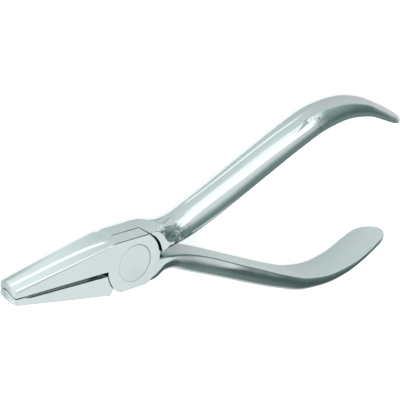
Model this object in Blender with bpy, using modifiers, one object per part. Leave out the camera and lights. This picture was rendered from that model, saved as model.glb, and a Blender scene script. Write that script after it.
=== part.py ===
"""Hollow chop pliers: two lapped steel halves and the rivet that they turn on.

Metres, +Z up. The pliers lie on their back, and the origin is the middle of the
rivet head's front face. The jaws point along -X and the handles along +X. The
hollow jaw and the lower handle belong to one half, the round jaw and the upper
handle to the other. They are drawn closed, with the jaw tips together.
"""

import math

import bmesh
import bpy
from mathutils import Matrix, Vector

# Lap joint
JOINT_THICKNESS = 0.0087
JOINT_HEIGHT = 0.0139
PLATE_OVERHANG = 0.00115
PLATE_GAP = 0.0003
SHOULDER_GAP = 0.0003
CROTCH_GAP = 0.0009

# Jaws
JAW_LENGTH = 0.0338
JAW_ROOT_INSET = 0.0017
TIP_WIDTH = 0.0065
TIP_EDGE_HEIGHT = 0.00175
TIP_EDGE_DROP = 0.0003
TIP_CROWN = 0.0007
TIP_CORNER_RADIUS = 0.0011
JAW_EDGE_RADIUS = 0.0005
SEAM_GAP = 0.0003

# Hollow of one jaw and ridge of the other
RIDGE_HEIGHT = 0.0008
RIDGE_WIDTH = 0.0070
RIDGE_OFFSET = 0.0010
LIP_DROP = 0.0003
TIP_PAD_LENGTH = 0.0020
RELIEF_RUN = 0.0020
RELIEF_DEPTH = 0.0009
RELIEF_AT_JOINT = 0.0012

# Outer corners behind the jaws
ROUND_NOTCH_DEPTH = 0.0014
HOLLOW_NOTCH_DEPTH = 0.0004
NOTCH_INSET = 0.0008

# Handles
HANDLE_LENGTH = 0.1012
ROOT_LENGTH = 0.0089
CROTCH_HALF_GAP = 0.0006
HANDLE_BOW = 0.0235
HANDLE_WIDTH = 0.0110
HANDLE_DEPTH = 0.0065
HANDLE_EDGE_RADIUS = 0.0006
PADDLE_CAP = 0.0064

# Rivet
HEAD_MARGIN = 0.00205
HEAD_DEPTH = 0.0018
SHANK_RADIUS = 0.0027
PEEN_RADIUS = 0.0040
PEEN_DEPTH = 0.0015
RIVET_GAP = 0.0003

# Overrun of every cutter, and the counts of the facets
OVERRUN = 0.0020
ARC_STEPS = 64
SECTION_STEPS = 28
JAW_FACE_STEPS = 10
JAW_STATIONS = 14
CORNER_STEPS = 4
HANDLE_STATIONS = 34
CAP_STATIONS = 7
TURNED_STEPS = 48

# Fullness of the handle's outer side, its inner edges and the paddle's end
OUTER_POWER = 2.2
INNER_POWER = 6.0
PADDLE_POWER = 2.3

# Turn of the paddle's end cap, just short of a quarter, and the angle of a sharp edge
CAP_TURN = math.radians(88)
SHARP_ANGLE = math.radians(40)

# Least share of a jaw's fillet, where the jaw ends inside the joint as a share of the
# plate's radius, the lean of a notch, and how the handle's stations crowd to its root
LEAST_FILLET_SHARE = 0.12
JAW_RUN_ON_SHARE = 0.40
NOTCH_LEAN_SHARE = 0.55
STATION_POWER = 1.25

# Root of a handle, from the joint's corner outwards. Shares of the plate's radius along X,
# of the crotch's half gap, of the joint's half height, of the outer side's fullness, and of
# the joint's half thickness on the side away from the plate.
ROOT_SHARES = (
    (0.42, 1.00, 1.000, 3.64, 2.00),
    (0.53, 1.00, 1.000, 3.64, 1.63),
    (0.77, 1.00, 1.014, 3.18, 1.38),
    (0.99, 1.00, 1.029, 2.22, 1.11),
    (1.17, 1.08, 0.978, 1.18, 1.06),
    (1.36, 1.25, 0.947, 1.02, 1.00),
    (1.54, 1.60, 0.942, 1.00, 0.99),
    (1.79, 2.30, 0.957, 1.00, 0.98),
)

# Half width of the root on the plate's side, as shares of the joint's half thickness. The
# hollow jaw's half is ground down there, and the round jaw's half keeps its square edge.
GROUND_SIDE_SHARES = (1.03, 1.02, 1.018, 1.025, 1.02, 1.01, 1.03, 1.03)
SQUARE_SIDE_SHARES = (2.10, 1.90, 1.32, 1.31, 1.38, 1.36, 1.29, 1.20)

# Free length of a handle. Shares of that length, of the bow, of the width and of the depth.
HANDLE_SHARES = (
    (0.000, 0.060, 0.785, 0.900),
    (0.036, 0.102, 0.784, 0.970),
    (0.119, 0.222, 0.806, 1.000),
    (0.226, 0.400, 0.847, 0.970),
    (0.344, 0.593, 0.872, 0.955),
    (0.463, 0.786, 0.911, 0.890),
    (0.582, 0.945, 0.941, 0.825),
    (0.689, 1.000, 0.962, 0.728),
    (0.784, 0.962, 0.989, 0.684),
    (0.867, 0.857, 1.005, 0.655),
    (0.938, 0.764, 0.931, 0.558),
    (1.000, 0.738, 0.770, 0.180),
)

# Sizes and places that follow from those above
HALF_THICKNESS = JOINT_THICKNESS / 2
HALF_HEIGHT = JOINT_HEIGHT / 2
PLATE_RADIUS = HALF_HEIGHT + PLATE_OVERHANG
SHOULDER_RADIUS = PLATE_RADIUS + SHOULDER_GAP
CORNER_X = math.sqrt(PLATE_RADIUS ** 2 - HALF_HEIGHT ** 2)
JAW_ROOT = PLATE_RADIUS - JAW_ROOT_INSET
NOTCH_REACH = PLATE_RADIUS - NOTCH_INSET
HANDLE_ROOT = PLATE_RADIUS + ROOT_LENGTH
HEAD_RADIUS = HALF_HEIGHT - HEAD_MARGIN


def clear_scene():
    """Remove what the scene holds."""
    for obj in list(bpy.data.objects):
        bpy.data.objects.remove(obj, do_unlink=True)
    for group in list(bpy.data.collections):
        bpy.data.collections.remove(group)


def new_collection(name):
    """Return a new collection that is linked to the scene."""
    group = bpy.data.collections.new(name)
    bpy.context.scene.collection.children.link(group)
    return group


def steel(name, colour, roughness):
    """Return a polished steel material."""
    material = bpy.data.materials.new(name)
    material.use_nodes = True
    shader = material.node_tree.nodes["Principled BSDF"]
    shader.inputs["Base Color"].default_value = (*colour, 1.0)
    shader.inputs["Metallic"].default_value = 1.0
    shader.inputs["Roughness"].default_value = roughness
    material.diffuse_color = (*colour, 1.0)
    return material


def blend(low, high, share):
    """Return the value at a share of the way from low to high."""
    return low + (high - low) * share


def ease(share):
    """Return a smooth step from 0 to 1, held outside that range."""
    held = min(max(share, 0.0), 1.0)
    return held * held * (3 - 2 * held)


def curve_through(stations, x):
    """Return the values at x on smooth curves through stations.

    Each station is an x followed by its values. The slope at a station is the
    harmonic mean of the slopes on its two sides, and zero where they differ in sign.
    """
    last = len(stations) - 1
    place = min(max(x, stations[0][0]), stations[last][0])
    index = 0
    while index < last - 1 and place > stations[index + 1][0]:
        index += 1

    def chord(k, column):
        run = stations[k + 1][0] - stations[k][0]
        return (stations[k + 1][column] - stations[k][column]) / run

    def slope(k, column):
        if k == 0 or k == last:
            return chord(min(k, last - 1), column)
        before = chord(k - 1, column)
        after = chord(k, column)
        return 2 * before * after / (before + after) if before * after > 0 else 0.0

    run = stations[index + 1][0] - stations[index][0]
    t = (place - stations[index][0]) / run
    values = []
    for column in range(1, len(stations[0])):
        start = stations[index][column]
        end = stations[index + 1][column]
        pull_start = slope(index, column) * run
        pull_end = slope(index + 1, column) * run
        values.append(
            (2 * t ** 3 - 3 * t ** 2 + 1) * start
            + (t ** 3 - 2 * t ** 2 + t) * pull_start
            + (3 * t ** 2 - 2 * t ** 3) * end
            + (t ** 3 - t ** 2) * pull_end
        )
    return values


def new_object(name, bm, group):
    """Return an object that holds what was modelled in bm, and free bm."""
    mesh = bpy.data.meshes.new(name)
    bm.to_mesh(mesh)
    bm.free()
    obj = bpy.data.objects.new(name, mesh)
    group.objects.link(obj)
    return obj


def loft(name, rings, group):
    """Return a closed solid that is skinned over rings of equal counts of points."""
    bm = bmesh.new()
    rows = [[bm.verts.new(point) for point in ring] for ring in rings]
    count = len(rows[0])
    for row, following in zip(rows, rows[1:]):
        for k in range(count):
            after = (k + 1) % count
            bm.faces.new((row[k], row[after], following[after], following[k]))
    for row in (rows[0], rows[-1]):
        middle = bm.verts.new(sum((vert.co for vert in row), Vector()) / count)
        for k in range(count):
            bm.faces.new((row[k], row[(k + 1) % count], middle))
    bmesh.ops.triangulate(bm, faces=bm.faces)
    bmesh.ops.recalc_face_normals(bm, faces=bm.faces)
    obj = new_object(name, bm, group)
    obj.data.shade_smooth()
    obj.data.set_sharp_from_angle(angle=SHARP_ANGLE)
    return obj


def box(name, low, high, group):
    """Return a box between its low and its high corner."""
    bm = bmesh.new()
    bmesh.ops.create_cube(bm, size=1)
    size = Vector(high) - Vector(low)
    bmesh.ops.scale(bm, verts=bm.verts, vec=size)
    bmesh.ops.translate(bm, verts=bm.verts, vec=Vector(low) + size / 2)
    return new_object(name, bm, group)


def prism(name, outline, bottom, top, group):
    """Return a solid of a flat outline in X and Y, from one height to another."""
    bm = bmesh.new()
    face = bm.faces.new([bm.verts.new((x, y, bottom)) for x, y in outline])
    raised = bmesh.ops.extrude_face_region(bm, geom=[face])
    lifted = [item for item in raised["geom"] if isinstance(item, bmesh.types.BMVert)]
    bmesh.ops.translate(bm, verts=lifted, vec=Vector((0, 0, top - bottom)))
    bmesh.ops.recalc_face_normals(bm, faces=bm.faces)
    return new_object(name, bm, group)


def drum(name, radius, bottom, top, group, centre=(0, 0)):
    """Return an upright cylinder between two heights."""
    bm = bmesh.new()
    place = Matrix.Translation((centre[0], centre[1], (bottom + top) / 2))
    bmesh.ops.create_cone(
        bm, cap_ends=True, segments=ARC_STEPS, radius1=radius, radius2=radius,
        depth=top - bottom, matrix=place,
    )
    for face in bm.faces:
        face.smooth = len(face.verts) < ARC_STEPS
    return new_object(name, bm, group)


def turned(name, profile, group):
    """Return a solid turned about Z from a profile of (radius, height) points.

    The profile runs from the axis at the top, down the outer side, to the axis
    at the bottom.
    """
    bm = bmesh.new()
    points = [bm.verts.new((radius, 0, height)) for radius, height in profile]
    for first, second in zip(points, points[1:]):
        bm.edges.new((first, second))
    obj = new_object(name, bm, group)
    screw = obj.modifiers.new("turn", "SCREW")
    screw.axis = "Z"
    screw.steps = TURNED_STEPS
    screw.render_steps = TURNED_STEPS
    screw.use_merge_vertices = True
    screw.merge_threshold = OVERRUN / ARC_STEPS ** 2
    screw.use_smooth_shade = True
    return obj


def shape_with(obj, operation, tool):
    """Add an exact Boolean to obj and put its tool out of sight."""
    step = obj.modifiers.new(tool.name, "BOOLEAN")
    step.operation = operation
    step.solver = "EXACT"
    step.object = tool
    tool.hide_render = True
    tool.display_type = "WIRE"


def carry(obj, operation, tool):
    """Shape obj with a tool that turns and moves with it."""
    shape_with(obj, operation, tool)
    tool.parent = obj


def jaw_half_width(from_tip):
    """Return the jaw's half width at a distance from its tip."""
    tip = TIP_WIDTH / 2
    taper = (HALF_THICKNESS - tip) / (JAW_LENGTH - SHOULDER_RADIUS)
    straight = tip + taper * from_tip
    if from_tip >= TIP_CORNER_RADIUS:
        return straight
    inset = TIP_CORNER_RADIUS - from_tip
    return straight - TIP_CORNER_RADIUS + math.sqrt(TIP_CORNER_RADIUS ** 2 - inset ** 2)


def ridge_rise(z):
    """Return the height of the seam between the jaws at a place across them."""
    share = abs(z + RIDGE_OFFSET) / (RIDGE_WIDTH / 2)
    wave = (1 + math.cos(math.pi * share)) / 2 if share < 1 else 0.0
    return RIDGE_HEIGHT * wave - LIP_DROP


def relief(from_tip):
    """Return how far the round jaw's face lies back behind its tip pad."""
    behind = from_tip - TIP_PAD_LENGTH
    start = RELIEF_DEPTH * ease(behind / RELIEF_RUN)
    length = JAW_LENGTH - TIP_PAD_LENGTH - PLATE_RADIUS
    growth = (RELIEF_AT_JOINT - RELIEF_DEPTH) * max(behind, 0.0) / length
    return start + growth


def hollow_face(from_tip, z):
    """Return the height of the hollow jaw's inner face, in its own half's frame."""
    return SEAM_GAP / 2 + ridge_rise(z)


def round_face(from_tip, z):
    """Return the height of the round jaw's inner face, in its own half's frame."""
    return SEAM_GAP / 2 - ridge_rise(-z) + relief(from_tip)


def jaw_outer(from_tip, share):
    """Return the height of the jaw's outer side at a share of its half width."""
    run = from_tip / (JAW_LENGTH - JAW_ROOT)
    edge = blend(TIP_EDGE_HEIGHT, HALF_HEIGHT, run)
    fade = max(1 - max(run, 0.0) ** 3, 0.0)
    crown = TIP_CROWN * fade * (1 - share * share)
    tilt = TIP_EDGE_DROP * fade * share / 2
    rounding = max(TIP_CORNER_RADIUS - from_tip, 0.0) ** 2 / (2 * TIP_CORNER_RADIUS)
    return edge + crown - tilt - rounding / 2


def jaw_ring(from_tip, inner_face):
    """Return the jaw's section at a distance from its tip."""
    half = jaw_half_width(from_tip)
    run = from_tip / (JAW_LENGTH - JAW_ROOT)
    radius = JAW_EDGE_RADIUS * max(1 - run, LEAST_FILLET_SHARE)
    x = from_tip - JAW_LENGTH
    ring = []
    for k in range(JAW_FACE_STEPS + 1):
        z = blend(-half, half, k / JAW_FACE_STEPS)
        ring.append((x, inner_face(from_tip, z), z))
    for side in (1, -1):
        corner = []
        for k in range(CORNER_STEPS + 1):
            angle = math.pi / 2 * k / CORNER_STEPS
            z = half - radius * (1 - math.cos(angle))
            drop = radius * (1 - math.sin(angle))
            corner.append((x, jaw_outer(from_tip, side * z / half) - drop, side * z))
        if side == 1:
            ring.extend(corner)
            for k in range(1, JAW_FACE_STEPS):
                z = blend(half - radius, radius - half, k / JAW_FACE_STEPS)
                ring.append((x, jaw_outer(from_tip, z / half), z))
        else:
            ring.extend(reversed(corner))
    return ring


def make_jaw(name, inner_face, group):
    """Return the full thickness of one jaw, run on into the joint."""
    end = JAW_LENGTH - PLATE_RADIUS * JAW_RUN_ON_SHARE
    places = []
    for k in range(CORNER_STEPS):
        angle = math.pi / 2 * k / CORNER_STEPS
        places.append(TIP_CORNER_RADIUS * (1 - math.cos(angle)))
    for k in range(JAW_STATIONS + 1):
        places.append(blend(TIP_CORNER_RADIUS, end, k / JAW_STATIONS))
    for k in range(1, CORNER_STEPS):
        places.append(TIP_PAD_LENGTH + RELIEF_RUN * k / CORNER_STEPS)
    return loft(name, [jaw_ring(place, inner_face) for place in sorted(places)], group)


def handle_stations(plate_side_shares):
    """Return the stations of a handle.

    Each holds x, the inner side, the outer side, the half width on the plate's
    side and on the other side, and the fullness.
    """
    stations = []
    for plate_side, root in zip(plate_side_shares, ROOT_SHARES):
        along, inner, outer, fullness, other_side = root
        stations.append((
            PLATE_RADIUS * along,
            CROTCH_HALF_GAP * inner,
            HALF_HEIGHT * outer,
            HALF_THICKNESS * plate_side,
            HALF_THICKNESS * other_side,
            OUTER_POWER * fullness,
        ))
    free = HANDLE_LENGTH - HANDLE_ROOT
    for along, bow, width, depth in HANDLE_SHARES:
        inner = CROTCH_HALF_GAP + HANDLE_BOW * bow
        half = HANDLE_WIDTH / 2 * width
        outer = inner + HANDLE_DEPTH * depth
        stations.append((HANDLE_ROOT + free * along, inner, outer, half, half, OUTER_POWER))
    return stations


def handle_ring(stations, x, closing):
    """Return the handle's section at x: flat towards the other handle, full outside."""
    inner, outer, plate_side, other_side, fullness = curve_through(stations, x)
    ring = []
    for k in range(SECTION_STEPS):
        angle = 2 * math.pi * k / SECTION_STEPS
        across = math.cos(angle)
        out = math.sin(angle)
        power = fullness if out >= 0 else INNER_POWER
        half = (plate_side if across >= 0 else other_side) * closing
        z = half * math.copysign(abs(across) ** (2 / power), across)
        rise = abs(out) ** (2 / power)
        if out >= 0:
            y = inner + HANDLE_EDGE_RADIUS + (outer - inner - HANDLE_EDGE_RADIUS) * rise
        else:
            y = inner + HANDLE_EDGE_RADIUS * (1 - rise)
        ring.append((x, -y, z))
    return ring


def make_handle(name, plate_side_shares, group):
    """Return one handle, from inside the joint to its rounded paddle."""
    stations = handle_stations(plate_side_shares)
    start = stations[0][0]
    straight_end = HANDLE_LENGTH - PADDLE_CAP
    rings = []
    for k in range(HANDLE_STATIONS):
        share = k / HANDLE_STATIONS
        x = blend(start, straight_end, share ** STATION_POWER)
        rings.append(handle_ring(stations, x, 1.0))
    for k in range(CAP_STATIONS):
        share = math.sin(CAP_TURN * k / (CAP_STATIONS - 1))
        closing = (1 - share ** PADDLE_POWER) ** (1 / PADDLE_POWER)
        rings.append(handle_ring(stations, straight_end + PADDLE_CAP * share, closing))
    return loft(name, rings, group)


def notch_outline(depth):
    """Return the outline of the corner that is cut off behind a jaw."""
    top = HALF_HEIGHT + OVERRUN
    floor = HALF_HEIGHT - depth
    return (
        (-NOTCH_REACH - OVERRUN * NOTCH_LEAN_SHARE, top),
        (-NOTCH_REACH + depth * NOTCH_LEAN_SHARE, floor),
        (0, floor),
        (0, top),
    )


def make_half(name, inner_face, notch_depth, plate_side_shares, parts, cutters, material):
    """Return one half in its own frame: jaw up on the left, handle down on the right.

    The half's plate is the upper layer of the joint, and its pocket below takes
    the other half's plate.
    """
    half = make_jaw(name, inner_face, parts)
    floor = PLATE_GAP / 2
    high = HALF_THICKNESS + OVERRUN
    plate = drum(f"{name}_plate", PLATE_RADIUS, floor, high, cutters)
    carry(half, "UNION", plate)
    carry(half, "UNION", make_handle(f"{name}_handle", plate_side_shares, cutters))

    far = HANDLE_LENGTH
    front = box(
        f"{name}_front_face", (-far, -far, HALF_THICKNESS), (HANDLE_ROOT, far, far), cutters,
    )
    carry(half, "DIFFERENCE", front)
    back = box(
        f"{name}_back_face", (-far, -far, -far), (HANDLE_ROOT, far, -HALF_THICKNESS), cutters,
    )
    carry(half, "DIFFERENCE", back)
    flat_top = box(f"{name}_flat_top", (-far, HALF_HEIGHT, -far), (far, far, far), cutters)
    carry(half, "DIFFERENCE", flat_top)
    flat_bottom = box(
        f"{name}_flat_bottom", (-far, -far, -far), (CORNER_X, -HALF_HEIGHT, far), cutters,
    )
    carry(half, "DIFFERENCE", flat_bottom)
    pocket = drum(f"{name}_pocket", SHOULDER_RADIUS, -high, floor, cutters)
    carry(half, "DIFFERENCE", pocket)
    shift = CROTCH_GAP - SHOULDER_GAP
    crotch = drum(
        f"{name}_crotch", SHOULDER_RADIUS, -high, floor, cutters, centre=(shift / 2, shift),
    )
    carry(half, "DIFFERENCE", crotch)
    notch = prism(f"{name}_notch", notch_outline(notch_depth), -high, floor, cutters)
    carry(half, "DIFFERENCE", notch)
    half.data.materials.append(material)
    return half


def rivet_profile(clearance):
    """Return the rivet's outer side, grown by a clearance, from front face to back face."""
    top = HALF_THICKNESS
    head_floor = top - HEAD_DEPTH - clearance
    return (
        (HEAD_RADIUS + clearance, top),
        (HEAD_RADIUS + clearance, head_floor),
        (SHANK_RADIUS + clearance, head_floor),
        (SHANK_RADIUS + clearance, PEEN_DEPTH - top + clearance),
        (PEEN_RADIUS + clearance, clearance - top),
    )


def make_rivet(parts, material):
    """Return the rivet: a flush head in front, a shank and a flush peened end."""
    top = HALF_THICKNESS
    profile = ((0, top), *rivet_profile(0), (0, -top))
    rivet = turned("pivot_rivet", profile, parts)
    rivet.data.materials.append(material)
    return rivet


def make_rivet_hole(cutters):
    """Return the cutter of the rivet's hole, run on past both faces."""
    reach = HALF_THICKNESS + OVERRUN
    front = HEAD_RADIUS + RIVET_GAP
    back = PEEN_RADIUS + RIVET_GAP
    profile = ((0, reach), (front, reach), *rivet_profile(RIVET_GAP), (back, -reach), (0, -reach))
    return turned("rivet_hole", profile, cutters)


def main():
    """Model the pliers."""
    clear_scene()
    parts = new_collection("hollow_chop_pliers")
    cutters = new_collection("cutters")
    front_steel = steel("polished_steel_front", (0.80, 0.84, 0.83), 0.12)
    back_steel = steel("polished_steel_back", (0.76, 0.81, 0.80), 0.12)
    rivet_steel = steel("rivet_steel", (0.70, 0.75, 0.74), 0.18)

    hollow = make_half(
        "hollow_jaw_half", hollow_face, HOLLOW_NOTCH_DEPTH, GROUND_SIDE_SHARES, parts, cutters,
        front_steel,
    )
    round_half = make_half(
        "round_jaw_half", round_face, ROUND_NOTCH_DEPTH, SQUARE_SIDE_SHARES, parts, cutters,
        back_steel,
    )
    rivet = make_rivet(parts, rivet_steel)

    hole = make_rivet_hole(cutters)
    shape_with(hollow, "DIFFERENCE", hole)
    shape_with(round_half, "DIFFERENCE", hole)

    round_half.rotation_euler.x = math.pi
    for piece in (hollow, round_half, rivet, hole):
        piece.location.z = -HALF_THICKNESS


main()
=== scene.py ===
"""Looks of the hollow chop pliers: two polished steel halves, their rivet and a white studio.

Metres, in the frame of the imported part. The origin is the middle of the rivet head's
front face, the jaws point along -X, the handles along +X, and +Z is out of the front.
"""

from __future__ import annotations

import logging
import math
from dataclasses import dataclass
from enum import Enum
from typing import Callable, Iterable, Sequence, Union

import bmesh
import bpy
import numpy as np
from mathutils import Matrix, Vector

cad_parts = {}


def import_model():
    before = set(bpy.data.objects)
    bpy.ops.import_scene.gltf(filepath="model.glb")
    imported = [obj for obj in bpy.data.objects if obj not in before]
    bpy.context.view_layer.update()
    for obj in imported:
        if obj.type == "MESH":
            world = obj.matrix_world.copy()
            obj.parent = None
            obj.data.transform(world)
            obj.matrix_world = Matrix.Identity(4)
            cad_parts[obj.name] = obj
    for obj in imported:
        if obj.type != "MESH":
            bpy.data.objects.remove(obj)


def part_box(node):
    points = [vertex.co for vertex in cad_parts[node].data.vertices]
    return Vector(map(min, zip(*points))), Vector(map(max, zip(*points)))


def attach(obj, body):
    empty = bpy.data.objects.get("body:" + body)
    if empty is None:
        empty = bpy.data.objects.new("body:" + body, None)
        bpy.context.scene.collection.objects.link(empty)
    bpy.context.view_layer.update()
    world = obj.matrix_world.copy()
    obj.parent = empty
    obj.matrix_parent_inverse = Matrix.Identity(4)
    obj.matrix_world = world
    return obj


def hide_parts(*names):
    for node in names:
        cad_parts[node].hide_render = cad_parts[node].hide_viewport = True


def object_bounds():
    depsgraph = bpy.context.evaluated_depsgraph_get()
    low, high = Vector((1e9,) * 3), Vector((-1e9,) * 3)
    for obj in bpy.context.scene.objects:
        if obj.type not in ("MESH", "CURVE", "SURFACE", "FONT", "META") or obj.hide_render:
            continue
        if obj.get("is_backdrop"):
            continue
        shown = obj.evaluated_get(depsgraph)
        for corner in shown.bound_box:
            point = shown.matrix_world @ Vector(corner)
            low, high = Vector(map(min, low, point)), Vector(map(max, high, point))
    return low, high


LOG = logging.getLogger("pliers")
Colour = tuple[float, float, float]
Point = tuple[float, float, float]
Span = tuple[float, float]

MM = 0.001
X, Y, Z = (1.0, 0.0, 0.0), (0.0, 1.0, 0.0), (0.0, 0.0, 1.0)
AZIMUTH, ELEVATION = (1.0, 0.0), (0.0, 1.0)

JAW_OVERLENGTH = 0.3 * MM
TABLE_GAP = 0.3 * MM
WELD_REACH = 0.0002 * MM
SPIN_WELD_REACH = 0.0001 * MM
SLIVER = 0.0005 * MM
CROWDED = 0.01 * MM
LEAST_SQUARE = (0.001 * MM) ** 2
TOUCH = 0.01 * MM
SLIT_SIDES = 12
ROUND_PROFILE = 0.5
ROUNDING_ROOM_SHARE = 1.4
FLAT_WEIGHT = 60
LEVEL = 0.99999
FLAT = 0.999999
FLAT_TURN = math.radians(0.05)
RIM_TURN = math.radians(8)
SHARP_TURN = math.radians(35)
SHADED_TURN = math.radians(50)


class Side(Enum):
    """The two halves, by the shape of the jaw."""

    HOLLOW = "hollow"
    ROUND = "round"


class Socket:
    """A shader socket on which sums and products can be written as Python expressions."""

    def __init__(self, graph: "Graph", socket: bpy.types.NodeSocket) -> None:
        """Wrap one output socket.

        Args:
            graph: The node graph that the socket is in.
            socket: The output socket.
        """
        self.graph = graph
        self.socket = socket

    def _maths(self, operation: str, *values: "Value") -> "Socket":
        """Add a Math node for an operation on these values."""
        node = self.graph.add("ShaderNodeMath", settings={"operation": operation})
        for index, value in enumerate(values):
            self.graph.feed(node.inputs[index], value)
        return Socket(self.graph, node.outputs[0])

    def __add__(self, other: "Value") -> "Socket":
        """Return the sum."""
        return self._maths("ADD", self, other)

    def __radd__(self, other: "Value") -> "Socket":
        """Return the sum, from the right."""
        return self._maths("ADD", other, self)

    def __sub__(self, other: "Value") -> "Socket":
        """Return the difference."""
        return self._maths("SUBTRACT", self, other)

    def __rsub__(self, other: "Value") -> "Socket":
        """Return the difference, from the right."""
        return self._maths("SUBTRACT", other, self)

    def __mul__(self, other: "Value") -> "Socket":
        """Return the product."""
        return self._maths("MULTIPLY", self, other)

    def __rmul__(self, other: "Value") -> "Socket":
        """Return the product, from the right."""
        return self._maths("MULTIPLY", other, self)

    def __truediv__(self, other: "Value") -> "Socket":
        """Return the quotient."""
        return self._maths("DIVIDE", self, other)

    def power(self, other: "Value") -> "Socket":
        """Return the value raised to a power."""
        return self._maths("POWER", self, other)

    def held(self) -> "Socket":
        """Return the value held between 0 and 1."""
        return self._maths("MINIMUM", self._maths("MAXIMUM", self, 0.0), 1.0)

    def larger(self, other: "Value") -> "Socket":
        """Return the larger of the two values."""
        return self._maths("MAXIMUM", self, other)

    def size(self) -> "Socket":
        """Return the absolute value."""
        return self._maths("ABSOLUTE", self)

    def direction(self, other: "Value") -> "Socket":
        """Return the angle of this value over the other, in radians."""
        return self._maths("ARCTAN2", self, other)

    def arc_sine(self) -> "Socket":
        """Return the angle whose sine this is, in radians."""
        return self._maths("ARCSINE", self)

    def step(self, low: float, high: float) -> "Socket":
        """Return a smooth step that is 0 at low and 1 at high.

        Args:
            low: The value at which the step starts.
            high: The value at which it is complete. It may be below low.

        Returns:
            The step as a socket.
        """
        share = ((self - low) / (high - low)).held()
        return share * share * (3.0 - 2.0 * share)


Value = Union[Socket, float, tuple]


class Graph:
    """The nodes of one material, or of the world."""

    def __init__(self, owner: Union[bpy.types.Material, bpy.types.World]) -> None:
        """Start an empty graph.

        Args:
            owner: The material or world that the nodes belong to.
        """
        owner.use_nodes = True
        self.tree = owner.node_tree
        self.tree.nodes.clear()

    def add(
        self, kind: str, settings: dict | None = None, inputs: dict | None = None
    ) -> bpy.types.Node:
        """Add a node.

        Args:
            kind: The node's type.
            settings: Attributes of the node, and a ramp's stops under "stops".
            inputs: Values or sockets of its inputs, by name or number.

        Returns:
            The node.
        """
        node = self.tree.nodes.new(kind)
        for name, value in (settings or {}).items():
            if name == "stops":
                self._set_stops(node.color_ramp, value)
            else:
                setattr(node, name, value)
        for name, value in (inputs or {}).items():
            self.feed(node.inputs[name], value)
        return node

    def out(self, node: bpy.types.Node, name: Union[str, int] = 0) -> Socket:
        """Return one output of a node."""
        return Socket(self, node.outputs[name])

    def feed(self, socket: bpy.types.NodeSocket, value: Value) -> None:
        """Link a socket to an input, or set the input's value."""
        if isinstance(value, Socket):
            self.tree.links.new(value.socket, socket)
        else:
            socket.default_value = value

    @staticmethod
    def _set_stops(ramp: bpy.types.ColorRamp, stops: Sequence[tuple[float, Colour]]) -> None:
        """Give a ramp its stops."""
        while len(ramp.elements) < len(stops):
            ramp.elements.new(1.0)
        for element, (place, colour) in zip(ramp.elements, stops):
            element.position = place
            element.color = (*colour, 1.0)

    def mix_colours(self, share: Value, low: Value, high: Value) -> Socket:
        """Return a mix of two colours, which go into a Mix node's inputs 6 and 7."""
        node = self.add("ShaderNodeMix", settings={"data_type": "RGBA"})
        self.feed(node.inputs[0], share)
        self.feed(node.inputs[6], low)
        self.feed(node.inputs[7], high)
        return Socket(self, node.outputs[2])

    def noise(self, place: Socket, noise: "Noise") -> Socket:
        """Return the value of a noise, from 0 to 1, at a place."""
        stretched = self.add(
            "ShaderNodeMapping", inputs={"Vector": place, "Scale": noise.stretch}
        )
        node = self.add(
            "ShaderNodeTexNoise",
            inputs={
                "Vector": self.out(stretched), "Scale": noise.scale, "Detail": noise.detail,
                "Roughness": noise.roughness, "Distortion": noise.twist,
            },
        )
        return self.out(node)

    def spot(self, coordinates: str) -> "Spot":
        """Return the place that is being shaded, in one kind of coordinates."""
        place = self.out(self.add("ShaderNodeTexCoord"), coordinates)
        axes = self.add("ShaderNodeSeparateXYZ", inputs={"Vector": place})
        return Spot(place, *(self.out(axes, k) for k in range(3)))

    def finish(self, shader: bpy.types.Node, output: str = "ShaderNodeOutputMaterial") -> None:
        """Send a shader to the graph's output."""
        self.feed(self.add(output).inputs["Surface"], self.out(shader))


@dataclass(frozen=True)
class Spot:
    """The place that is being shaded, whole and by its axes."""

    place: Socket
    x: Socket
    y: Socket
    z: Socket


@dataclass(frozen=True)
class Noise:
    """A noise over the object: how fine it is, how it is stretched and how it is twisted."""

    scale: float
    detail: float = 1.0
    stretch: Point = (1.0, 1.0, 1.0)
    twist: float = 0.0
    roughness: float = 0.5


@dataclass(frozen=True)
class Patch:
    """A patch with soft borders, such as the light of a lamp or the ground root of a handle.

    A border has a weight for each axis, the weighted sum at which the patch starts, and the
    one at which it is complete.
    """

    borders: tuple[tuple[float, ...], ...]
    strength: float = 1.0

    def over(self, *axes: Socket) -> Socket:
        """Return the strength of the patch at the place that these axes give."""
        share = self.strength
        for *weights, start, full in self.borders:
            place = sum(weight * axis for weight, axis in zip(weights, axes) if weight)
            share = share * place.step(start, full)
        return share


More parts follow.
